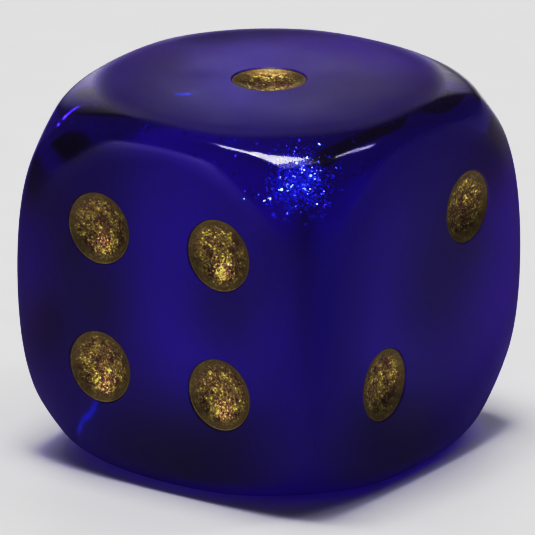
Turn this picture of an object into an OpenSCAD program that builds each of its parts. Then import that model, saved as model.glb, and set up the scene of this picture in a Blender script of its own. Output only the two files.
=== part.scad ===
// Six-sided die of clear dyed resin: a cube with its corners turned down to a ball,
// 21 dished pips lined with gold paint, and glitter flakes cast into the resin.
// The origin is the die's centre. Face 1 is up (+Z), face 2 is +X and face 4 is -Y.

/* [Blank] */
// Width across two opposite flat faces
die_w = 16; // [13:0.5:25]
// Radius of the straight edges, where two flat faces meet
edge_r = 1.6; // [0.8:0.1:2.2]
// How far the corner ball reaches past the middle of a sharp edge
ball_over = 0.08; // [0.02:0.02:0.4]
// Radius that blends a flat face into the corner ball
blend_r = 4.3; // [3:0.1:5.2]

/* [Pips] */
// Diameter of a pip's rim, on the face
pip_d = 3.2; // [2:0.1:3.8]
// Depth of a pip's dished recess
pip_depth = 0.6; // [0.4:0.05:0.8]
// Distance between the centres of two outer pips, along a side
pip_pitch = 6.1; // [5.6:0.1:7]
// Resin left between neighbouring pips in a row of three
row_land = 0.3; // [0.2:0.1:1]

/* [Gold paint] */
// Thickness of the paint at the bottom of a recess
paint_t = 0.12; // [0.05:0.01:0.2]
// Drop from the face down to the paint's rim
rim_drop = 0.05; // [0.02:0.01:0.1]
// Width of the paint's flat rim
rim_w = 0.08; // [0.04:0.01:0.15]

/* [Glitter] */
// Width of a six-sided flake, across its corners
flake_d = 0.3; // [0.15:0.05:0.5]
// Thickness of a flake
flake_t = 0.05; // [0.03:0.01:0.1]
// Spacing of the flakes before they are scattered
flake_pitch = 3.4; // [3:0.2:6]
// Least resin around a flake
flake_cover = 0.3; // [0.2:0.05:0.6]
// Number that picks the scatter
flake_seed = 16; // [1:1:99]

/* [Hidden] */
$fn = 96;
half_w = die_w / 2;
ball_r = half_w * sqrt(2) + ball_over;
// Centre of the blend's arc: blend_r inside both the flat face and the ball.
blend_z = half_w - blend_r;
blend_x = sqrt((ball_r - blend_r) ^ 2 - blend_z ^ 2);
blend_tilt = atan2(blend_z, blend_x);
// The blend's arc crosses the face and the ball by this much, so no two surfaces only graze.
blend_skim = 0.01;
// A cutter reaches this far past the piece that it shapes.
past = 1;

function dish_r(rim, depth) = (rim ^ 2 + depth ^ 2) / (2 * depth);
pip_r = pip_d / 2;
recess_r = dish_r(pip_r, pip_depth);
row_pitch = pip_d + row_land;
// The paint fills the recess up to rim_drop below the face, with a shallower dish in it.
paint_r = sqrt(recess_r ^ 2 - (recess_r - pip_depth + rim_drop) ^ 2);
bowl_depth = pip_depth - rim_drop - paint_t;
bowl_r = dish_r(paint_r - rim_w, bowl_depth);

// Flakes stay clear of the pips' recesses and of the corner ball.
flake_reach = half_w - pip_depth - flake_cover - flake_d / 2;
flake_reach_r = ball_r - flake_cover - flake_d / 2;
flake_steps = floor(flake_reach / flake_pitch + 0.5);
flake_scatter = (flake_pitch - flake_d - flake_cover) / 2;
flake_cells = [
    for (x = [-flake_steps : flake_steps - 1], y = [-flake_steps : flake_steps - 1],
         z = [-flake_steps : flake_steps - 1])
        [x + 0.5, y + 0.5, z + 0.5] * flake_pitch
];
flake_dice = rands(-1, 1, 6 * len(flake_cells), flake_seed);
function flake_place(i) = flake_cells[i] + flake_scatter * [for (k = [0 : 2]) flake_dice[6 * i + k]];
function flake_turn(i) = 180 * [for (k = [3 : 5]) flake_dice[6 * i + k]];
function flake_fits(p) = max([for (v = p) abs(v)]) < flake_reach && norm(p) < flake_reach_r;

// Turn that brings +Z to each face from 1 to 6, with the face's own upward side along +Z.
FACE_TURN = [[0, 0, 0], [90, 0, 90], [90, 0, 180], [90, 0, 0], [90, 0, 270], [180, 0, 0]];
// Each pip: its name, its face, and its column and row seen from outside the face.
PIPS = [
    ["pip_1_centre", 1, 0, 0],
    ["pip_2_upper_right", 2, 1, 1],
    ["pip_2_lower_left", 2, -1, -1],
    ["pip_3_upper_left", 3, -1, 1],
    ["pip_3_centre", 3, 0, 0],
    ["pip_3_lower_right", 3, 1, -1],
    ["pip_4_upper_left", 4, -1, 1],
    ["pip_4_upper_right", 4, 1, 1],
    ["pip_4_lower_left", 4, -1, -1],
    ["pip_4_lower_right", 4, 1, -1],
    ["pip_5_upper_left", 5, -1, 1],
    ["pip_5_upper_right", 5, 1, 1],
    ["pip_5_centre", 5, 0, 0],
    ["pip_5_lower_left", 5, -1, -1],
    ["pip_5_lower_right", 5, 1, -1],
    ["pip_6_upper_left", 6, -1, 1],
    ["pip_6_middle_left", 6, -1, 0],
    ["pip_6_lower_left", 6, -1, -1],
    ["pip_6_upper_right", 6, 1, 1],
    ["pip_6_middle_right", 6, 1, 0],
    ["pip_6_lower_right", 6, 1, -1]
];

// Square section with four round corners.
module edge_section() {
    square([die_w, die_w - 2 * edge_r], center = true);
    square([die_w - 2 * edge_r, die_w], center = true);
    for (x = [-1, 1], y = [-1, 1])
        translate([x, y] * (half_w - edge_r)) circle(edge_r);
}

// The section extruded along each of the three axes, which rounds all twelve edges.
module round_edged_cube() {
    intersection() {
        linear_extrude(die_w, center = true) edge_section();
        rotate([90, 0, 0]) linear_extrude(die_w, center = true) edge_section();
        rotate([0, 90, 0]) linear_extrude(die_w, center = true) edge_section();
    }
}

// Half outline of a body that cuts only where a face on Z blends into the ball: it is just
// past the face at its ends, has the blend's arc at their rims, and then runs out past the
// ball. With a drop, all of it lies that far inside.
module blend_outline(drop) {
    face_z = half_w - drop + blend_skim / 2;
    waist = (ball_r - drop + blend_skim / 2) / cos(blend_tilt);
    ridge_x = waist - face_z * tan(blend_tilt);
    difference() {
        polygon([
            [0, face_z], [ridge_x, face_z], [waist, 0], [ridge_x, -face_z], [0, -face_z]
        ]);
        for (side = [-1, 1])
            difference() {
                ridge_wedge(side);
                translate([blend_x, side * blend_z]) circle(blend_r - drop + blend_skim);
            }
    }
}

// Wedge from the blend's centre out over the sharp ridge between a face and the ball.
module ridge_wedge(side) {
    centre = [blend_x, side * blend_z];
    reach = 2 * blend_r;
    angles = [blend_tilt, (blend_tilt + 90) / 2, 90];
    polygon(concat([centre], [for (a = angles) centre + reach * [cos(a), side * sin(a)]]));
}

module blend_cutter(drop = 0) {
    rotate_extrude() blend_outline(drop);
}

// The die before its recesses: the cube, turned down to the ball at its corners.
module blank() {
    intersection() {
        round_edged_cube();
        sphere(ball_r);
        blend_cutter();
        rotate([90, 0, 0]) blend_cutter();
        rotate([0, 90, 0]) blend_cutter();
    }
}

// Turns a piece drawn on the +Z face to a pip's own face.
module on_face(pip) {
    rotate(FACE_TURN[pip[1] - 1]) children();
}

// Moves a piece drawn with the face as its z = 0 plane to a pip's place on the +Z face.
module at_pip(pip) {
    row_step = (pip[1] == 6) ? row_pitch : pip_pitch / 2;
    translate([pip[2] * pip_pitch / 2, pip[3] * row_step, half_w]) children();
}

// Dished recess for one pip.
module recess() {
    translate([0, 0, recess_r - pip_depth]) sphere(recess_r);
}

// Body of revolution that fills a recess up to the face, less the dish in the paint's front.
module paint_fill() {
    rotate_extrude()
        difference() {
            intersection() {
                translate([0, recess_r - pip_depth]) circle(recess_r);
                translate([0, -pip_depth - past]) square([pip_r, pip_depth + past]);
            }
            translate([0, bowl_r - bowl_depth - rim_drop]) circle(bowl_r);
        }
}

// Gold paint in one recess: its rim stays rim_drop below the face, and below the blend where
// the pip runs onto that.
module paint(pip) {
    color("goldenrod")
        on_face(pip)
            intersection() {
                at_pip(pip) paint_fill();
                blend_cutter(rim_drop + blend_skim / 2);
            }
}

// Thin six-sided flakes scattered through the resin.
module glitter_flakes() {
    color("deepskyblue")
        for (i = [0 : len(flake_cells) - 1])
            if (flake_fits(flake_place(i)))
                translate(flake_place(i))
                    rotate(flake_turn(i))
                        cylinder(d = flake_d, h = flake_t, center = true, $fn = 6);
}

// The resin, with a recess for each pip and a pocket around each flake.
module resin_body() {
    color("midnightblue")
        difference() {
            blank();
            for (pip = PIPS) on_face(pip) at_pip(pip) recess();
            glitter_flakes();
        }
}

resin_body();
for (pip = PIPS)
    paint(pip);
glitter_flakes();
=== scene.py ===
import math

import bpy
import numpy as np
from bpy.props import FloatProperty, FloatVectorProperty, IntProperty, PointerProperty
from mathutils import Matrix, Vector


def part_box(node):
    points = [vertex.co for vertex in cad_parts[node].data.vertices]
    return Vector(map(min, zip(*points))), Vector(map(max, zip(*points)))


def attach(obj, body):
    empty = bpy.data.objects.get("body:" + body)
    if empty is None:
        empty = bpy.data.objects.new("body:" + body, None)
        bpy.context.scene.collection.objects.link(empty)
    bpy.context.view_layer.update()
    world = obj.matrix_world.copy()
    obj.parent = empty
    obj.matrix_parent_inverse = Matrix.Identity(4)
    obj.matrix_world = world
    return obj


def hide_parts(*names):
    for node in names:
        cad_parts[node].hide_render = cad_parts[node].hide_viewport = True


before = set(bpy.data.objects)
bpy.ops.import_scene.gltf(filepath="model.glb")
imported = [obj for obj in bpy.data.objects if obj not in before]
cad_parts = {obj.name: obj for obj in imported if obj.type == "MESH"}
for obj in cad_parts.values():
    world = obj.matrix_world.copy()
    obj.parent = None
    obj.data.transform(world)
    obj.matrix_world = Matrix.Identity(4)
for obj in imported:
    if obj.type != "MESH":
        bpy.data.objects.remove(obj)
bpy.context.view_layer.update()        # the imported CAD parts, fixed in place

bl_info = {
    "name": "Translucent Resin Die",
    "version": (1, 0, 0),
    "blender": (4, 5, 0),
    "location": "3D View > Sidebar > Resin Die",
    "description": "Makes a glitter-filled resin die with gold-painted pips, and its studio",
    "category": "Object",
}

MM = 0.001

# Linear light levels and how the picture shows them.
TONE_CURVE = ((0.1, 0.09), (0.28, 0.3), (0.46, 0.59), (0.62, 0.74), (0.8, 0.826))
WHITE_SHOWN = 0.9

# Sizes measured on the CAD parts.
HALF_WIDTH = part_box("resin_body")[1].z
PIP_NODES = sorted(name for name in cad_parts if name.startswith("pip_"))


def pip_frame(name):
    """A pip's face axis (0, 1 or 2), the side of that axis (+1 or -1) and the middle of its box."""
    low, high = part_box(name)
    middle = (low + high) / 2
    axis = max(range(3), key=lambda k: abs(middle[k]))
    return axis, (1 if middle[axis] > 0 else -1), np.array(middle)


def pip_measures():
    """Radius of the paint's rim, its drop below the face, and the depth of the recess behind it."""
    low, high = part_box("pip_1_centre")
    return (high.x - low.x) / 2, HALF_WIDTH - high.z, HALF_WIDTH - low.z


PAINT_RADIUS, RIM_DROP, RECESS_DEPTH = pip_measures()


def dish_radius(rim, depth):
    """Radius of the sphere whose cap has this rim radius and this depth."""
    return (rim ** 2 + depth ** 2) / (2 * depth)


RECESS_SPHERE = dish_radius(PAINT_RADIUS, RECESS_DEPTH - RIM_DROP)
RECESS_RADIUS = math.sqrt(RECESS_SPHERE ** 2 - (RECESS_SPHERE - RECESS_DEPTH) ** 2)


# ---------------------------------------------------------------- settings


class ResinSettings(bpy.types.PropertyGroup):
    """Shape and finish of the resin body."""
    softening: FloatProperty(
        name="Softening", description="Rounding shared by the edges and the corner ball",
        default=1.126 * MM, unit="LENGTH")
    ball_radius: FloatProperty(
        name="Corner ball", description="Radius of the ball that the corners are turned down to",
        default=11.28 * MM, unit="LENGTH")
    cells: IntProperty(
        name="Cells", description="Grid cells across each face of the skin", default=120)
    clarity: FloatVectorProperty(
        name="Clarity", description="Share of each colour that the resin's dye leaves alone",
        default=(0.545, 0.13, 0.868), subtype="COLOR")
    dye_density: FloatProperty(
        name="Dye density", description="Absorption per metre of the fully absorbed colour",
        default=240.0)
    haze: FloatProperty(
        name="Haze", description="Share of the light that the resin's pigment scatters",
        default=0.06, subtype="FACTOR")
    haze_colour: FloatVectorProperty(
        name="Haze colour", description="Tint of the skin and of the scattered light",
        default=(0.42, 0.24, 0.8), subtype="COLOR")
    satin: FloatProperty(
        name="Satin", description="Roughness in the middle of the sanded flat faces",
        default=0.46, subtype="FACTOR")
    satin_outer: FloatProperty(
        name="Outer satin", description="Roughness at the corners of the sanded flat faces",
        default=0.62, subtype="FACTOR")
    scuff: FloatProperty(
        name="Scuff", description="Roughness of the upright and bottom edges", default=0.6,
        subtype="FACTOR")
    edge_polish: FloatProperty(
        name="Edge polish", description="Roughness of the rounded top edges",
        default=0.1, subtype="FACTOR")
    polish: FloatProperty(
        name="Polish", description="Roughness of the tumbled corners", default=0.1,
        subtype="FACTOR")


class PaintSettings(bpy.types.PropertyGroup):
    """Gold paint in the pips."""
    bite: FloatProperty(
        name="Bite", description="How far the paint reaches into the resin behind it",
        default=0.02 * MM, unit="LENGTH")
    thickness: FloatProperty(
        name="Thickness", description="Paint at the bottom of the recess",
        default=0.12 * MM, unit="LENGTH")
    rim_width: FloatProperty(
        name="Rim width", description="Flat rim around the dished front", default=0.03 * MM,
        unit="LENGTH")
    grain_size: FloatProperty(
        name="Grain size", description="Radius of a typical grain of the metal powder",
        default=0.075 * MM, unit="LENGTH")
    grain_height: FloatProperty(
        name="Grain height", description="Relief of the grains", default=0.02 * MM,
        unit="LENGTH")


class GlitterSettings(bpy.types.PropertyGroup):
    """Glitter flakes cast into the resin."""
    spread_count: IntProperty(
        name="Spread count", description="Flakes thinly spread through the die", default=2500)
    cloud_count: IntProperty(
        name="Cloud count", description="Flakes in the cloud that settled near a corner",
        default=1700)
    cloud_middle: FloatVectorProperty(
        name="Cloud middle", description="Middle of the cloud",
        default=(5.5 * MM, -5.8 * MM, 6.0 * MM), subtype="XYZ", unit="LENGTH")
    cloud_reach: FloatProperty(
        name="Cloud reach", description="Spread of the cloud about its middle",
        default=0.6 * MM, unit="LENGTH")
    width: FloatProperty(
        name="Width", description="Widest flake, across its corners", default=0.15 * MM,
        unit="LENGTH")
    thickness: FloatProperty(
        name="Thickness", description="Thickness of a flake", default=0.008 * MM, unit="LENGTH")
    cover: FloatProperty(
        name="Cover", description="Least resin between a flake and the skin",
        default=0.1 * MM, unit="LENGTH")
    depth: FloatProperty(
        name="Depth", description="Least depth of the spread flakes under a face",
        default=1.2 * MM, unit="LENGTH")
    # Painted light: glow and the next strength are emission on the flakes, a faint painted glow for
    # the cloud and bright painted glints for a few of its flakes, not lamp light that the flakes
    # reflect.
    glow: FloatProperty(
        name="Glow", description="Light given back by each flake of the cloud", default=0.18)
    painted_glint_strength: FloatProperty(
        name="Sparkle", description="Light given back by the flakes that catch a lamp",
        default=7.0)
    row_count: IntProperty(
        name="Row count", description="Flakes between two points of a row", default=34)
    row_shake: FloatProperty(
        name="Row shake", description="How far a row's flakes stray from its path",
        default=0.055 * MM, unit="LENGTH")
    # Painted light: the emission that each row's flakes give out as a painted glow.
    row_painted_glow: FloatProperty(
        name="Row glow", description="Light given back by each flake of a row", default=0.32)
    seed: IntProperty(name="Seed", description="Picks the scatter of the flakes", default=7)


class StageSettings(bpy.types.PropertyGroup):
    """Floor, lights and camera."""
    lamp_light: FloatProperty(
        name="Lamp light", description="Radiance that each lamp gives a share of", default=48.0)
    # Painted shade: the card's colour is darkened to the left and right of the view's line; these
    # two set how pale each of them stays.
    painted_shade_left: FloatProperty(
        name="Floor left", description="How pale the card's left side is, next to its middle",
        default=0.35, subtype="FACTOR")
    painted_shade_right: FloatProperty(
        name="Floor right", description="How pale the card's right side is, next to its middle",
        default=0.8, subtype="FACTOR")
    room_light: FloatProperty(
        name="Room light", description="Radiance of the dim room", default=0.14)
    wall_light: FloatProperty(
        name="Wall light", description="Radiance at the middle of the bright wall",
        default=1.7)
    wall_direction: FloatVectorProperty(
        name="Wall direction", description="Middle of the bright wall, seen from the die",
        default=(-0.58, 0.75, 0.3), subtype="XYZ")
    wall_spread: FloatProperty(
        name="Wall spread", description="How far the bright wall's light reaches around it",
        default=math.radians(25), subtype="ANGLE")
    contrast: FloatProperty(
        name="Contrast", description="Gamma of the finished picture: below 1 deepens the darks",
        default=0.6)
    azimuth: FloatProperty(
        name="Azimuth", description="Camera's turn from the front towards +X",
        default=math.radians(35.28), subtype="ANGLE")
    elevation: FloatProperty(
        name="Elevation", description="Camera's angle above the horizon",
        default=math.radians(19.23), subtype="ANGLE")
    roll: FloatProperty(
        name="Roll", description="Camera's turn about its own axis",
        default=math.radians(-0.2), subtype="ANGLE")
    distance: FloatProperty(
        name="Distance", description="From the camera to the die's centre",
        default=451 * MM, unit="LENGTH")
    framed: FloatProperty(
        name="Framed width", description="Width of the view at the die's centre",
        default=22.48 * MM, unit="LENGTH")
    aim_right: FloatProperty(
        name="Aim right", description="Aim point's offset to the right of the die's centre",
        default=-0.092 * MM, unit="LENGTH")
    aim_up: FloatProperty(
        name="Aim up", description="Aim point's offset above the die's centre",
        default=-0.332 * MM, unit="LENGTH")


# ---------------------------------------------------------------- mesh helpers


def mesh_object(name, points, corners, counts):
    """A mesh object from an array of points, all polygon corners in a row, and each
    polygon's number of corners."""
    mesh = bpy.data.meshes.new(name)
    mesh.vertices.add(len(points))
    mesh.vertices.foreach_set("co", np.asarray(points, np.float32).ravel())
    mesh.loops.add(len(corners))
    mesh.loops.foreach_set("vertex_index", np.asarray(corners, np.int32))
    mesh.polygons.add(len(counts))
    starts = np.concatenate([[0], np.cumsum(counts)[:-1]])
    mesh.polygons.foreach_set("loop_start", starts.astype(np.int32))
    mesh.polygons.foreach_set("use_smooth", np.ones(len(counts), bool))
    mesh.update(calc_edges=True)
    piece = bpy.data.objects.new(name, mesh)
    bpy.context.scene.collection.objects.link(piece)
    return piece


def weld(points, triangles, grain=1e-8):
    """Merges points that agree to within the grain, and drops triangles that lose an area."""
    keys = np.round(points / grain).astype(np.int64)
    _, first, where = np.unique(keys, axis=0, return_index=True, return_inverse=True)
    triangles = where.reshape(-1)[triangles]
    whole = (triangles[:, 0] != triangles[:, 1]) & (triangles[:, 1] != triangles[:, 2])
    whole &= triangles[:, 2] != triangles[:, 0]
    return points[first], triangles[whole]


# ---------------------------------------------------------------- node helpers


def add_node(tree, kind, inputs=None, **settings):
    """Adds a node. Inputs are values, or sockets that are linked to it."""
    made = tree.nodes.new(kind)
    for key, value in settings.items():
        setattr(made, key, value)
    for key, value in (inputs or {}).items():
        if isinstance(value, bpy.types.NodeSocket):
            tree.links.new(value, made.inputs[key])
        else:
            made.inputs[key].default_value = value
    return made


def math_node(tree, operation, *values):
    """Adds a Math node on these values or sockets, and returns its result."""
    return add_node(tree, "ShaderNodeMath", dict(enumerate(values)),
                    operation=operation).outputs[0]


def ramp(tree, factor, stops):
    """Adds a colour ramp through (position, colour) stops, and returns its colour."""
    made = add_node(tree, "ShaderNodeValToRGB", {"Fac": factor})
    elements = made.color_ramp.elements
    while len(elements) < len(stops):
        elements.new(0.5)
    for element, (position, colour) in zip(elements, stops):
        element.position = position
        element.color = (*colour, 1.0)
    return made.outputs["Color"]


def span(tree, value, low, high, start=0.0, end=1.0):
    """Maps a value from one range to another, clamped, and returns it."""
    return add_node(tree, "ShaderNodeMapRange", {
        "Value": value, "From Min": low, "From Max": high, "To Min": start, "To Max": end,
    }).outputs["Result"]


def new_material(name):
    """A material with only a Principled shader and its output."""
    material = bpy.data.materials.new(name)
    material.use_nodes = True
    tree = material.node_tree
    tree.nodes.clear()
    shader = tree.nodes.new("ShaderNodeBsdfPrincipled")
    output = tree.nodes.new("ShaderNodeOutputMaterial")
    tree.links.new(shader.outputs["BSDF"], output.inputs["Surface"])
    return material, tree, shader, output


def object_place(tree):
    """The point's place in the object's own coordinates, in metres."""
    return tree.nodes.new("ShaderNodeTexCoord").outputs["Object"]


# ---------------------------------------------------------------- resin body


def blank_level(points, half, softening, ball):
    """How far points are outside the blank: the distance past a cube, and past a ball, both
    shrunk by the softening, taken together as one root of squares, less the softening."""
    over = np.maximum(np.abs(points) - (half - softening), 0.0)
    past_ball = np.maximum(np.linalg.norm(points, axis=-1) - (ball - softening), 0.0)
    return np.sqrt((over ** 2).sum(-1) + past_ball ** 2) - softening


def onto_blank(points, half, softening, ball, halvings=36):
    """Pulls points straight towards the die's centre until they lie on the blank, by
    halving the span that holds the crossing."""
    low = np.full(points.shape[:-1], 0.5)
    high = np.ones_like(low)
    for _ in range(halvings):
        middle = (low + high) / 2
        outside = blank_level(points * middle[..., None], half, softening, ball) > 0
        high = np.where(outside, middle, high)
        low = np.where(outside, low, middle)
    return points * high[..., None]


def skin_grid(cells, half, softening, ball):
    """The body's skin: a square grid on each face of the sharp cube, pulled onto the blank,
    with each pip's recess pressed in as a spherical dish. Grid points near a recess's rim
    are first moved onto the rim, so the rim is a clean circle."""
    line = np.linspace(-half, half, cells + 1)
    cell = line[1] - line[0]
    u, v = (a.ravel() for a in np.meshgrid(line, line, indexing="ij"))
    index = np.arange((cells + 1) ** 2).reshape(cells + 1, cells + 1)
    quads = np.stack([index[:-1, :-1], index[1:, :-1], index[1:, 1:], index[:-1, 1:]], -1)
    quads = quads.reshape(-1, 4)
    all_points, all_triangles = [], []
    for axis in range(3):
        for side in (-1, 1):
            across, along = (axis + 1) % 3, (axis + 2) % 3
            flat = np.zeros((len(u), 3))
            flat[:, across], flat[:, along], flat[:, axis] = u, v, side * half
            depth = np.zeros(len(u))
            on_rim = np.zeros(len(u), bool)
            for name in PIP_NODES:
                pip_axis, pip_side, middle = pip_frame(name)
                if (pip_axis, pip_side) != (axis, side):
                    continue
                centre = middle[[across, along]]
                offset = flat[:, [across, along]] - centre
                reach = np.linalg.norm(offset, axis=1)
                near = np.abs(reach - RECESS_RADIUS) < 0.55 * cell
                scale = np.where(near, RECESS_RADIUS / np.maximum(reach, 1e-9), 1.0)
                flat[:, [across, along]] = centre + offset * scale[:, None]
                inside = (reach < RECESS_RADIUS) & ~near
                dish = np.sqrt(np.maximum(RECESS_SPHERE ** 2 - reach ** 2, 0.0))
                depth[inside] = (dish - RECESS_SPHERE + RECESS_DEPTH)[inside]
                on_rim |= near
            points = onto_blank(flat, half, softening, ball)
            points[:, axis] -= side * depth
            turned = on_rim[quads[:, 1]] & on_rim[quads[:, 3]]
            turned &= ~(on_rim[quads[:, 0]] & on_rim[quads[:, 2]])
            first = np.where(turned[:, None], quads[:, [0, 1, 3]], quads[:, [0, 1, 2]])
            second = np.where(turned[:, None], quads[:, [1, 2, 3]], quads[:, [0, 2, 3]])
            triangles = np.concatenate([first, second])
            if side < 0:
                triangles = triangles[:, ::-1]
            all_triangles.append(triangles + len(all_points) * len(u))
            all_points.append(points)
    return weld(np.concatenate(all_points), np.concatenate(all_triangles))


# Where the finish of the skin changes. A face is sanded from just under its flat; the satin
# roughens with the distance from the die's centre; edges are smoother high up than low down.
SANDED_FROM, SANDED_FULL = HALF_WIDTH - 0.22 * MM, HALF_WIDTH - 0.01 * MM
SATIN_INNER, SATIN_OUTER = HALF_WIDTH + 0.8 * MM, HALF_WIDTH + 2.2 * MM
SCUFFED_BELOW, POLISHED_ABOVE = 3 * MM, 6 * MM
CROWN_FROM, CROWN_FULL = 0.5 * MM, 0.15 * MM


def resin_material(settings):
    """Clear dyed resin: satin on the sanded flat faces, polished on the tumbled corners."""
    material, tree, shader, output = new_material("dyed_resin")
    place = object_place(tree)
    parts = add_node(tree, "ShaderNodeSeparateXYZ", {"Vector": place})
    sizes = [math_node(tree, "ABSOLUTE", parts.outputs[k]) for k in range(3)]
    reach = math_node(tree, "MAXIMUM", math_node(tree, "MAXIMUM", *sizes[:2]), sizes[2])
    sanded = span(tree, reach, SANDED_FROM, SANDED_FULL)
    ball = add_node(tree, "ShaderNodeVectorMath", {0: place}, operation="LENGTH")
    edged, crowned = (
        span(tree, parts.outputs[2], SCUFFED_BELOW, POLISHED_ABOVE, settings.scuff, finish)
        for finish in (settings.edge_polish, settings.polish))
    cornered = span(tree, ball.outputs["Value"], settings.ball_radius - CROWN_FROM,
                    settings.ball_radius - CROWN_FULL, edged, crowned)
    cloud = add_node(tree, "ShaderNodeTexNoise", {
        "Vector": place, "Scale": 350.0, "Detail": 4.0, "Roughness": 0.6})
    uneven = span(tree, cloud.outputs["Fac"], 0.3, 0.7, 0.9, 1.1)
    satin = math_node(tree, "MULTIPLY", uneven, span(
        tree, ball.outputs["Value"], SATIN_INNER, SATIN_OUTER,
        settings.satin, settings.satin_outer))
    rough = add_node(tree, "ShaderNodeMix", {
        "Factor": sanded, "A": cornered, "B": satin}, data_type="FLOAT")
    tree.links.new(rough.outputs["Result"], shader.inputs["Roughness"])
    grit = add_node(tree, "ShaderNodeTexNoise", {
        "Vector": place, "Scale": 6000.0, "Detail": 3.0, "Roughness": 0.7})
    height = math_node(tree, "MULTIPLY", grit.outputs["Fac"],
                       span(tree, sanded, 0.0, 1.0, 0.05, 1.0))
    bump = add_node(tree, "ShaderNodeBump", {
        "Strength": 0.08, "Distance": 0.01 * MM, "Height": height})
    tree.links.new(bump.outputs["Normal"], shader.inputs["Normal"])
    shader.inputs["Base Color"].default_value = (*settings.haze_colour, 1.0)
    shader.inputs["Transmission Weight"].default_value = 1.0 - settings.haze
    shader.inputs["IOR"].default_value = 1.5
    volume = add_node(tree, "ShaderNodeVolumeAbsorption", {
        "Color": (*settings.clarity, 1.0), "Density": settings.dye_density})
    tree.links.new(volume.outputs["Volume"], output.inputs["Volume"])
    return material


class RESINDIE_OT_body(bpy.types.Operator):
    """Makes the resin body: a cube with ball-turned corners and a recess for each pip"""
    bl_idname = "resindie.body"
    bl_label = "Resin Body"

    def execute(self, context):
        settings = context.scene.resindie_resin
        points, triangles = skin_grid(
            settings.cells, HALF_WIDTH, settings.softening, settings.ball_radius)
        body = mesh_object("body_skin", points, triangles.ravel(),
                           np.full(len(triangles), 3))
        body.data.set_sharp_from_angle(angle=math.radians(30))
        body.data.materials.append(resin_material(settings))
        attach(body, "root")
        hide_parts("resin_body")
        return {"FINISHED"}


# ---------------------------------------------------------------- gold paint


def grain_relief(points, size, seed):
    """Height from 0 to 1 at 2-D points: the highest of many round grains, each a dome that
    falls off with the square of the distance from its middle."""
    draw = np.random.default_rng(seed)
    reach = np.abs(points).max() + size
    number = int(1.1 * (2 * reach) ** 2 / (size ** 2))
    middles = draw.uniform(-reach, reach, (number, 2))
    radii = size * draw.uniform(0.6, 1.5, number)
    tops = draw.uniform(0.35, 1.0, number)
    height = np.zeros(len(points))
    for chunk in np.array_split(np.arange(number), 24):
        gap = np.linalg.norm(points[:, None, :] - middles[None, chunk, :], axis=2)
        dome = tops[chunk] * np.maximum(1 - (gap / radii[chunk]) ** 2, 0.0)
        height = np.maximum(height, dome.max(1))
    return height


def paint_surface(settings, seed, rings=38, segments=150, back_rings=8):
    """One pip's paint, about its face axis with the face at z = 0: a profile turned about
    the axis, down the dished front from the middle to the rim, over the flat rim and back
    under along the recess. Grains stand up on the front."""
    rim = PAINT_RADIUS - settings.rim_width
    bowl_depth = RECESS_DEPTH - RIM_DROP - settings.thickness
    bowl = dish_radius(rim, bowl_depth)
    front_r = np.linspace(0, 1, rings + 1)[1:] * rim
    front_z = -RIM_DROP - (np.sqrt(bowl ** 2 - front_r ** 2) - (bowl - bowl_depth))
    back_angle = np.linspace(1, 0, back_rings + 1)[:-1]
    sphere = RECESS_SPHERE + settings.bite
    edge = math.acos((RECESS_SPHERE - RECESS_DEPTH + RIM_DROP) / sphere)
    back_r = sphere * np.sin(back_angle * edge)
    back_z = RECESS_SPHERE - RECESS_DEPTH - sphere * np.cos(back_angle * edge)
    r = np.concatenate([front_r, [PAINT_RADIUS], back_r])
    z = np.concatenate([front_z, [-RIM_DROP], back_z])
    turn = np.linspace(0, 2 * math.pi, segments, endpoint=False)
    x, y = np.outer(r, np.cos(turn)), np.outer(r, np.sin(turn))
    height = np.repeat(z[:, None], segments, 1)
    relief = grain_relief(np.stack([x[:rings].ravel(), y[:rings].ravel()], 1),
                          settings.grain_size, seed).reshape(rings, segments)
    fade = np.clip((rim - front_r) / (1.5 * settings.grain_size), 0.15, 1)[:, None]
    height[:rings] += settings.grain_height * (relief - 0.5) * fade
    ring_points = np.stack([x, y, height], -1).reshape(-1, 3)
    poles = np.array([[0, 0, height[0].mean()], [0, 0, RECESS_SPHERE - RECESS_DEPTH - sphere]])
    points = np.concatenate([ring_points, poles])
    total = len(r)
    here = np.arange(total * segments).reshape(total, segments)
    ahead = np.roll(here, -1, axis=1)
    quads = np.stack([here[:-1], here[1:], ahead[1:], ahead[:-1]], -1).reshape(-1, 4)
    front_fan = np.stack([np.full(segments, total * segments), here[0], ahead[0]], -1)
    back_fan = np.stack([np.full(segments, total * segments + 1), ahead[-1], here[-1]], -1)
    corners = np.concatenate([quads.ravel(), front_fan.ravel(), back_fan.ravel()])
    counts = np.concatenate([np.full(len(quads), 4), np.full(2 * segments, 3)])
    return points, corners, counts


def onto_face(points, axis, side, middle):
    """Turns points drawn about +Z with the face at z = 0 to a pip's place on its face. The
    turn is a proper one, so the faces keep pointing outwards."""
    placed = np.empty_like(points)
    placed[:, axis] = side * (HALF_WIDTH + points[:, 2])
    placed[:, (axis + 1) % 3] = middle[(axis + 1) % 3] + points[:, 0]
    placed[:, (axis + 2) % 3] = middle[(axis + 2) % 3] + side * points[:, 1]
    return placed


PAINT_SEED = 100

# Grains of the gold powder: place along the ramp and colour, dark bronze to bright gold.
GRAIN_COLOURS = [
    (0.0, (0.24, 0.18, 0.125)), (0.35, (0.345, 0.28, 0.15)), (0.75, (0.48, 0.42, 0.185)),
    (0.93, (0.71, 0.66, 0.26)), (1.0, (1.0, 0.95, 0.42))]
PATCH_TINTS = [(0.38, (0.62, 0.47, 0.72)), (0.62, (1.1, 1.08, 1.0))]
RIM_COLOUR = (0.31, 0.25, 0.15, 1.0)
GRAINS_PER_METRE = 14000.0
PATCHES_PER_METRE = 2200.0


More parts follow.
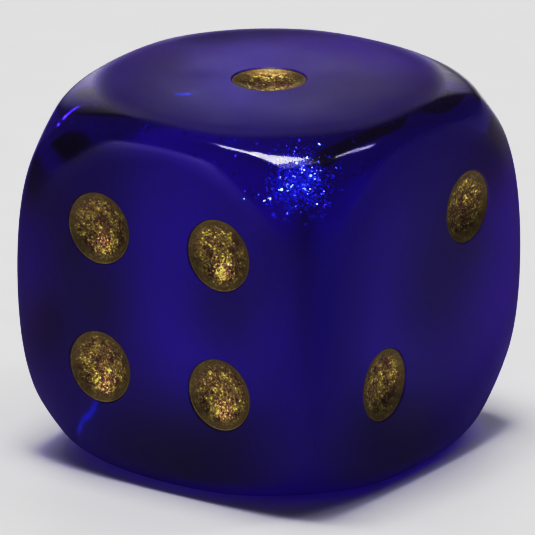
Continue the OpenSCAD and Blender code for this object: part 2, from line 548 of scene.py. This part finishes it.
def gold_material():
    """Metallic paint full of fine powder: bronze, olive and bright gold grains, with broad
    patches that are browner, and duller towards the rim."""
    material, tree, shader, _ = new_material("gold_powder_paint")
    place = object_place(tree)
    cells = add_node(tree, "ShaderNodeTexVoronoi", {"Vector": place, "Scale": GRAINS_PER_METRE})
    parts = add_node(tree, "ShaderNodeSeparateColor", {"Color": cells.outputs["Color"]})
    grain = ramp(tree, parts.outputs[0], GRAIN_COLOURS)
    patch = add_node(tree, "ShaderNodeTexNoise", {
        "Vector": place, "Scale": PATCHES_PER_METRE, "Detail": 3.0})
    tint = ramp(tree, patch.outputs["Fac"], PATCH_TINTS)
    rim = add_node(tree, "ShaderNodeAttribute", attribute_name="rim").outputs["Fac"]
    patched = add_node(tree, "ShaderNodeMix", {"Factor": 1.0, "A": grain, "B": tint},
                       data_type="RGBA", blend_type="MULTIPLY")
    colour = add_node(tree, "ShaderNodeMix", {
        "Factor": rim, "A": patched.outputs["Result"], "B": RIM_COLOUR},
        data_type="RGBA")
    tree.links.new(colour.outputs["Result"], shader.inputs["Base Color"])
    polished = span(tree, parts.outputs[1], 0.0, 1.0, 0.3, 0.52)
    rough = add_node(tree, "ShaderNodeMix", {"Factor": rim, "A": polished, "B": 0.6},
                     data_type="FLOAT")
    tree.links.new(rough.outputs["Result"], shader.inputs["Roughness"])
    tilt = math_node(tree, "ADD", cells.outputs["Distance"], parts.outputs[2])
    bump = add_node(tree, "ShaderNodeBump", {
        "Strength": 0.3, "Distance": 0.015 * MM, "Height": tilt})
    tree.links.new(bump.outputs["Normal"], shader.inputs["Normal"])
    shader.inputs["Metallic"].default_value = 1.0
    return material


class RESINDIE_OT_pips(bpy.types.Operator):
    """Makes the gold paint in each pip's recess"""
    bl_idname = "resindie.pips"
    bl_label = "Gold Pips"

    def execute(self, context):
        settings = context.scene.resindie_paint
        gold = gold_material()
        for number, name in enumerate(PIP_NODES):
            axis, side, middle = pip_frame(name)
            points, corners, counts = paint_surface(settings, PAINT_SEED + number)
            piece = mesh_object("paint_" + name, onto_face(points, axis, side, middle),
                                corners, counts)
            reach = np.linalg.norm(points[:, :2], axis=1) / PAINT_RADIUS
            rim = piece.data.attributes.new("rim", "FLOAT", "POINT")
            rim.data.foreach_set("value", np.clip((reach - 0.7) / 0.25, 0, 0.8))
            piece.data.materials.append(gold)
            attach(piece, "root")
            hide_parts(name)
        return {"FINISHED"}


# ---------------------------------------------------------------- glitter


# Flakes that flowed into a row just under the skin, which give out a painted glow as emission so
# the rows show as bright streaks: points along each row, in millimetres.
ROWS = (
    ((-3.5, -7.45, -4.8), (-3.7, -7.45, -5.25), (-4.0, -7.45, -5.6), (-4.3, -7.45, -6.0),
     (-4.5, -7.35, -6.4)),
    ((-2.2, -3.7, 7.75), (-1.9, -3.5, 7.75), (-1.6, -3.2, 7.75)),
)


def row_places(settings):
    """Middles of the flakes in the rows: evenly along each path, shaken a little."""
    draw = np.random.default_rng(settings.seed + 1)
    places = []
    for path in ROWS:
        path = np.array(path) * MM
        steps = np.linspace(0, len(path) - 1, settings.row_count * (len(path) - 1))
        along = np.arange(len(path))
        row = np.stack([np.interp(steps, along, path[:, k]) for k in range(3)], axis=1)
        places.append(row + settings.row_shake * draw.normal(size=row.shape))
    return np.concatenate(places), draw


def flake_places(settings, resin):
    """Random middles for the flakes: some drawn evenly in a cube, the rest in a round cloud
    whose density falls off as a bell curve, all kept where the resin covers them."""
    draw = np.random.default_rng(settings.seed)
    inner = HALF_WIDTH - settings.depth
    spread = draw.uniform(-inner, inner, (settings.spread_count, 3))
    cloud = np.array(settings.cloud_middle) + settings.cloud_reach * draw.normal(
        size=(settings.cloud_count, 3))
    points = np.concatenate([spread, cloud])
    margin = settings.cover + settings.width / 2
    keep = blank_level(points * (1 + margin / HALF_WIDTH), HALF_WIDTH, resin.softening,
                       resin.ball_radius) < 0
    for name in PIP_NODES:
        axis, side, middle = pip_frame(name)
        centre = middle.copy()
        centre[axis] = side * (HALF_WIDTH - RECESS_DEPTH + RECESS_SPHERE)
        keep &= np.linalg.norm(points - centre, axis=1) > RECESS_SPHERE + margin
    clouded = np.arange(len(points)) >= settings.spread_count
    return points[keep], clouded[keep], draw


def flake_points(places, draw, settings):
    """Twelve corners for each flake: a six-sided plate turned by a random quaternion."""
    number = len(places)
    width = settings.width * (0.35 + 0.65 * draw.uniform(0, 1, number) ** 3)
    turn = np.arange(6) * math.pi / 3
    ring = np.stack([np.cos(turn), np.sin(turn), np.zeros(6)], -1) / 2
    lift = np.array([0, 0, settings.thickness / 2])
    plate = np.concatenate([ring[None] * width[:, None, None] + lift,
                            ring[None] * width[:, None, None] - lift], axis=1)
    q = draw.normal(size=(number, 4))
    w, x, y, z = (q / np.linalg.norm(q, axis=1, keepdims=True)).T
    turned = np.stack([
        np.stack([1 - 2 * (y * y + z * z), 2 * (x * y - z * w), 2 * (x * z + y * w)], -1),
        np.stack([2 * (x * y + z * w), 1 - 2 * (x * x + z * z), 2 * (y * z - x * w)], -1),
        np.stack([2 * (x * z - y * w), 2 * (y * z + x * w), 1 - 2 * (x * x + y * y)], -1),
    ], axis=1)
    return np.einsum("nij,nkj->nki", turned, plate) + places[:, None, :]


# Share of the draw above which a flake of the cloud gives out a painted glint as emission, and the
# draw given to a row's flakes, which puts them on the painted glow colour.
PAINTED_GLINT_FROM = 0.94
ROW_PAINTED_GLOW_LUCK = 0.5
ROW_TINT = 0.2
# Colours of the painted glow and of the painted glints that the flakes give out as emission.
PAINTED_GLOW_COLOUR, PAINTED_GLINT_COLOUR = (0.06, 0.16, 1.0), (0.35, 0.75, 1.0)


def glitter_material(settings):
    """Bright metallised film, some of it blue and some nearly white. The flakes of the cloud give
    out a little blue emission, a painted glow, and the few drawn above the threshold give out much
    more, painted glints."""
    material, tree, shader, _ = new_material("blue_glitter_film")
    tint = add_node(tree, "ShaderNodeAttribute", attribute_name="tint")
    colour = ramp(tree, tint.outputs["Fac"], [
        (0.0, (0.12, 0.35, 1.0)), (0.6, (0.35, 0.65, 1.0)), (1.0, (0.9, 0.97, 1.0))])
    tree.links.new(colour, shader.inputs["Base Color"])
    rough = span(tree, tint.outputs["Fac"], 0.0, 1.0, 0.35, 0.1)
    tree.links.new(rough, shader.inputs["Roughness"])
    painted_glint_draw = add_node(tree, "ShaderNodeAttribute", attribute_name="painted_glint_draw").outputs["Fac"]
    # Emission colour of the painted glow and painted glints; flakes drawn at zero give out none.
    light = ramp(tree, painted_glint_draw, [
        (0.0, (0.0, 0.0, 0.0)), (0.01, PAINTED_GLOW_COLOUR), (PAINTED_GLINT_FROM - 0.01, PAINTED_GLOW_COLOUR),
        (PAINTED_GLINT_FROM, PAINTED_GLINT_COLOUR)])
    tree.links.new(light, shader.inputs["Emission Color"])
    # Emission strength: painted glow for the cloud, rising to painted glints above the threshold.
    strength = span(tree, painted_glint_draw, PAINTED_GLINT_FROM, 1.0, settings.glow, settings.painted_glint_strength)
    # The rows' flakes give out their own painted glow instead.
    in_row = add_node(tree, "ShaderNodeAttribute", attribute_name="in_row").outputs["Fac"]
    strength = math_node(tree, "ADD", strength, math_node(
        tree, "MULTIPLY", in_row, settings.row_painted_glow - settings.glow))
    tree.links.new(strength, shader.inputs["Emission Strength"])
    shader.inputs["Metallic"].default_value = 1.0
    return material


class RESINDIE_OT_glitter(bpy.types.Operator):
    """Scatters glitter flakes through the resin"""
    bl_idname = "resindie.glitter"
    bl_label = "Glitter Flakes"

    def execute(self, context):
        settings = context.scene.resindie_glitter
        places, clouded, draw = flake_places(settings, context.scene.resindie_resin)
        points = flake_points(places, draw, settings)
        tints = draw.uniform(0, 1, len(places))
        # Each cloud flake's draw sets how much painted light it gives out as emission; the spread
        # flakes give out none.
        painted_glint_luck = np.where(clouded, draw.uniform(0.02, 1, len(places)), 0)
        row, row_draw = row_places(settings)
        points = np.concatenate([points, flake_points(row, row_draw, settings)])
        tints = np.concatenate([tints, np.full(len(row), ROW_TINT)])
        painted_glint_luck = np.concatenate([painted_glint_luck, np.full(len(row), ROW_PAINTED_GLOW_LUCK)])
        number = len(points)
        top = np.arange(6)
        ring = [[k, k + 6, (k + 1) % 6 + 6, (k + 1) % 6] for k in range(6)]
        shape = np.concatenate([top, top[::-1] + 6, np.ravel(ring)])
        corners = (shape[None] + 12 * np.arange(number)[:, None]).ravel()
        counts = np.tile([6, 6] + [4] * 6, number)
        flakes = mesh_object("glitter", points.reshape(-1, 3), corners, counts)
        flakes.data.polygons.foreach_set("use_smooth", np.zeros(len(counts), bool))
        tint = flakes.data.attributes.new("tint", "FLOAT", "POINT")
        tint.data.foreach_set("value", np.repeat(tints, 12))
        painted_glint_draw = flakes.data.attributes.new("painted_glint_draw", "FLOAT", "POINT")
        painted_glint_draw.data.foreach_set("value", np.repeat(painted_glint_luck, 12))
        in_row = flakes.data.attributes.new("in_row", "FLOAT", "POINT")
        in_row.data.foreach_set("value", np.repeat(np.arange(number) >= len(places), 12)
                                .astype(np.float32))
        flakes.data.materials.append(glitter_material(settings))
        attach(flakes, "root")
        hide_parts("glitter_flakes")
        return {"FINISHED"}


# ---------------------------------------------------------------- stage


# The card is palest up to the first of these distances beside the view's line, and its painted
# shade is fullest beyond the second.
PAINTED_SHADE_FROM, PAINTED_SHADE_FULL = 17 * MM, 45 * MM


def floor_material(settings):
    """Pale matt card with a faint mottle, palest along the strip that runs away from the camera,
    with painted shade darkening it to the left and right of that strip."""
    material, tree, shader, _ = new_material("pale_card")
    place = object_place(tree)
    mottle = add_node(tree, "ShaderNodeTexNoise", {
        "Vector": place, "Scale": 300.0, "Detail": 5.0})
    across = (math.cos(settings.azimuth), math.sin(settings.azimuth), 0.0)
    beside = add_node(tree, "ShaderNodeVectorMath", {0: place, 1: across},
                      operation="DOT_PRODUCT").outputs["Value"]
    pale = span(tree, mottle.outputs["Fac"], 0.3, 0.7, 0.79, 0.81)
    # Painted shade: the card's colour is darkened to the left and right of the view's line.
    left = span(tree, beside, -PAINTED_SHADE_FULL, -PAINTED_SHADE_FROM, settings.painted_shade_left, 1.0)
    right = span(tree, beside, PAINTED_SHADE_FROM, PAINTED_SHADE_FULL, 1.0, settings.painted_shade_right)
    painted_side_shade = math_node(tree, "MULTIPLY", left, right)
    tree.links.new(math_node(tree, "MULTIPLY", pale, painted_side_shade), shader.inputs["Base Color"])
    shader.inputs["Roughness"].default_value = 0.6
    return material


def add_floor(settings, size=3.0):
    """A square of card just under the die, one quad."""
    h = size / 2
    points = np.array([[-h, -h, 0], [h, -h, 0], [h, h, 0], [-h, h, 0]])
    points[:, 2] = -HALF_WIDTH
    floor = mesh_object("floor", points, np.arange(4), np.array([4]))
    floor.data.materials.append(floor_material(settings))


def add_lamp(name, one_end, other_end, width, radiance, distance=0.6):
    """A straight lamp that the die sees between two directions, with its width as a share of
    its distance, and of this radiance."""
    one, other = (Vector(end).normalized() for end in (one_end, other_end))
    light = bpy.data.lights.new(name, "AREA")
    light.shape = "RECTANGLE"
    light.size, light.size_y = (other - one).length * distance, width * distance
    light.energy = radiance * math.pi * light.size * light.size_y
    away = (one + other).normalized()
    along = (other - one).normalized()
    turn = Matrix((along, away.cross(along), away)).transposed()
    lamp = bpy.data.objects.new(name, light)
    bpy.context.scene.collection.objects.link(lamp)
    lamp.location = away * distance
    lamp.rotation_euler = turn.to_euler()


def add_room(settings):
    """The room around the die: dim, with a bright wall low down behind it."""
    world = bpy.data.worlds.new("room")
    world.use_nodes = True
    tree = world.node_tree
    direction = tree.nodes.new("ShaderNodeTexCoord").outputs["Generated"]
    facing = add_node(tree, "ShaderNodeVectorMath", {
        0: direction, 1: Vector(settings.wall_direction).normalized()},
        operation="DOT_PRODUCT").outputs["Value"]
    glow = span(tree, facing, math.cos(settings.wall_spread), 1.0, settings.room_light,
                settings.wall_light)
    background = tree.nodes["Background"]
    background.inputs["Color"].default_value = (1.0, 1.0, 1.0, 1.0)
    tree.links.new(glow, background.inputs["Strength"])
    bpy.context.scene.world = world


def add_camera(settings):
    """A long lens on the view's line, aimed a little off the die's centre."""
    a, e = settings.azimuth, settings.elevation
    back = Vector((math.sin(a) * math.cos(e), -math.cos(a) * math.cos(e), math.sin(e)))
    right = Vector((math.cos(a), math.sin(a), 0.0))
    up = back.cross(right)
    camera = bpy.data.objects.new("camera", bpy.data.cameras.new("camera"))
    bpy.context.scene.collection.objects.link(camera)
    place = back * settings.distance
    aim = right * settings.aim_right + up * settings.aim_up - place
    camera.location = place
    facing = aim.to_track_quat("-Z", "Y")
    camera.rotation_euler = facing.to_euler()
    camera.rotation_euler.rotate_axis("Z", settings.roll)
    camera.data.lens = camera.data.sensor_width * settings.distance / settings.framed
    camera.data.clip_start = 0.01
    bpy.context.scene.camera = camera


def set_tone(view, contrast):
    """A camera's tone curve: deep darks, lifted mid tones and soft whites."""
    view.view_transform = "Standard"
    view.gamma = contrast
    view.use_curve_mapping = True
    curve = view.curve_mapping.curves[3]
    for level, shown in TONE_CURVE:
        curve.points.new(level, shown)
    curve.points[-1].location = (1.0, WHITE_SHOWN)
    view.curve_mapping.update()


# Each lamp: its two ends as seen from the die, its width, and its share of the lamp light.
LAMPS = (
    ("lamp_main", (-0.19, -0.03, 0.98), (0.15, -0.03, 0.98), 0.3, 0.32),
    ("lamp_tube", (-0.36, -0.2, 0.91), (-0.12, -0.1, 0.98), 0.12, 0.3),
    ("lamp_soft", (-0.03, -0.1, 0.99), (0.31, -0.1, 0.94), 0.34, 0.07),
    ("lamp_back_right", (0.25, 0.2, 0.94), (0.55, 0.55, 0.63), 0.09, 0.2),
    ("lamp_left", (-0.66, -0.74, 0.13), (-0.42, -0.9, 0.13), 0.3, 0.13),
)
LIGHT_BOUNCES = 24


class RESINDIE_OT_stage(bpy.types.Operator):
    """Makes the floor, the lights and the camera"""
    bl_idname = "resindie.stage"
    bl_label = "Stage"

    def execute(self, context):
        settings = context.scene.resindie_stage
        add_floor(settings)
        add_room(settings)
        for name, one_end, other_end, width, share in LAMPS:
            add_lamp(name, one_end, other_end, width, settings.lamp_light * share)
        add_camera(settings)
        scene = context.scene
        set_tone(scene.view_settings, settings.contrast)
        scene.cycles.use_denoising = True
        scene.cycles.max_bounces = LIGHT_BOUNCES
        scene.cycles.transmission_bounces = LIGHT_BOUNCES
        return {"FINISHED"}


# ---------------------------------------------------------------- panel and registration


class RESINDIE_PT_panel(bpy.types.Panel):
    """Lists the operators that make the die and its stage"""
    bl_idname = "RESINDIE_PT_panel"
    bl_label = "Resin Die"
    bl_space_type = "VIEW_3D"
    bl_region_type = "UI"
    bl_category = "Resin Die"

    def draw(self, context):
        for operator in OPERATORS:
            self.layout.operator(operator.bl_idname)


SETTINGS = {
    "resindie_resin": ResinSettings,
    "resindie_paint": PaintSettings,
    "resindie_glitter": GlitterSettings,
    "resindie_stage": StageSettings,
}
OPERATORS = (RESINDIE_OT_body, RESINDIE_OT_pips, RESINDIE_OT_glitter, RESINDIE_OT_stage)


def register():
    """Registers the settings, the operators and the panel."""
    for name, group in SETTINGS.items():
        bpy.utils.register_class(group)
        setattr(bpy.types.Scene, name, PointerProperty(type=group))
    for part in (*OPERATORS, RESINDIE_PT_panel):
        bpy.utils.register_class(part)


def unregister():
    """Takes away what register added, in the opposite order."""
    for part in reversed((*OPERATORS, RESINDIE_PT_panel)):
        bpy.utils.unregister_class(part)
    for name, group in reversed(SETTINGS.items()):
        delattr(bpy.types.Scene, name)
        bpy.utils.unregister_class(group)


def main():
    register()
    bpy.ops.resindie.body()
    bpy.ops.resindie.pips()
    bpy.ops.resindie.glitter()
    bpy.ops.resindie.stage()


if __name__ == "__main__":
    main()
